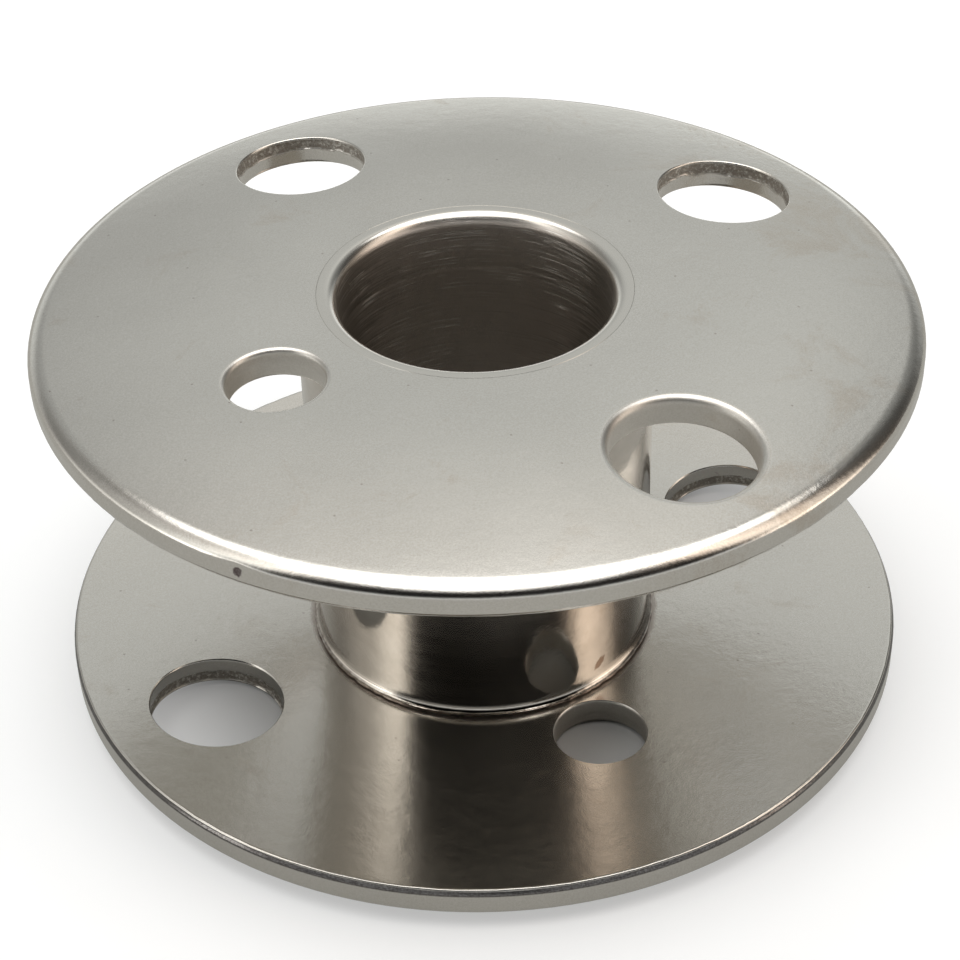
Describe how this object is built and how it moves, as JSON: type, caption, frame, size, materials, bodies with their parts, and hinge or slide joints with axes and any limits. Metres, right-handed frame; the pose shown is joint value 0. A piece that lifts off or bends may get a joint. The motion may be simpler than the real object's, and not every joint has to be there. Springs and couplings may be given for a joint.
{
  "type": "sewing machine bobbin",
  "caption": "Steel sewing-machine bobbin: domed round flanges with punched thread holes, held on a hub sleeve by a rolled-over core tube with a through bore.",
  "frame": {"origin": "on the spindle axis, in the plane of the lower flange's seat and rolled lip, which the bobbin stands on", "axes": "+Z along the spindle axis from the lower flange to the upper flange; +X and +Y are square to it, with the upper flange's first large hole 35 degrees from +X towards +Y"},
  "size_m": [0.0206, 0.0206, 0.0102],
  "materials": {
    "flange_nickel": "satin nickel plate, with faint stains and a bright rolled rim",
    "hub_nickel": "glossy nickel plate, lightly scuffed",
    "bore_nickel": "nickel plate with turned scratches round the bore and a polished lip"
  },
  "bodies": {
    "root": {"upper_flange": "flange_nickel", "lower_flange": "flange_nickel", "hub_sleeve": "hub_nickel", "core_tube": "bore_nickel"}
  },
  "joints": []
}
